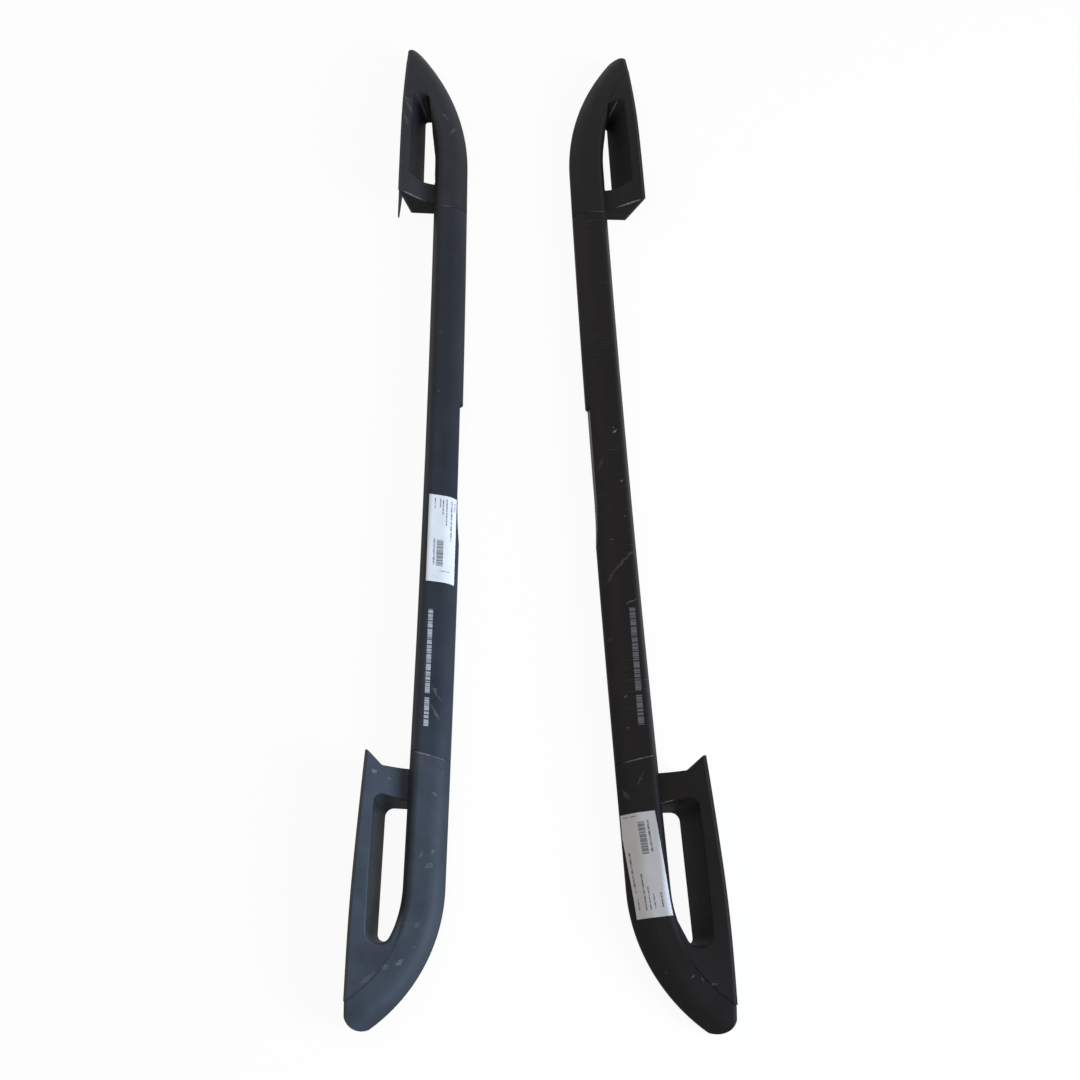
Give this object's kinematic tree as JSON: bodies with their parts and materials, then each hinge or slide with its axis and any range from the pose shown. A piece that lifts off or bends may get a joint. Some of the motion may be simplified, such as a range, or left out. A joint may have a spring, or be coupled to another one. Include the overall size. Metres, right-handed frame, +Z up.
{
  "type": "pair of roof rails",
  "caption": "Mirrored black roof rails for a vehicle: arched hollow bars with moulded end feet, strap windows and gasketed inclined soles, lying side by side.",
  "frame": {"origin": "middle of the pair on the floor, under the centre of the bounding box", "axes": "+Z up from the floor, +Y along the rails towards their front ends, +X from the left rail to the right rail"},
  "size_m": [0.3602, 1.1885, 0.0383],
  "materials": {
    "left_bar_coat": "satin black powder coat",
    "right_bar_coat": "satin black powder coat",
    "left_foot_nylon": "fine-grained black nylon",
    "right_foot_nylon": "fine-grained black nylon",
    "gasket_rubber": "matt black",
    "insert_brass": "turned",
    "screw_steel": "zinc plated",
    "label_paper": "plain white"
  },
  "bodies": {
    "root": {"left_bar": "left_bar_coat", "left_front_foot": "left_foot_nylon", "left_front_gasket": "gasket_rubber", "left_front_inserts": "insert_brass", "left_front_joint_screws": "screw_steel", "left_label": "label_paper", "left_rear_foot": "left_foot_nylon", "left_rear_gasket": "gasket_rubber", "left_rear_inserts": "insert_brass", "left_rear_joint_screws": "screw_steel", "right_bar": "right_bar_coat", "right_front_foot": "right_foot_nylon", "right_front_gasket": "gasket_rubber", "right_front_inserts": "insert_brass", "right_front_joint_screws": "screw_steel", "right_label": "label_paper", "right_rear_foot": "right_foot_nylon", "right_rear_gasket": "gasket_rubber", "right_rear_inserts": "insert_brass", "right_rear_joint_screws": "screw_steel"}
  },
  "joints": []
}
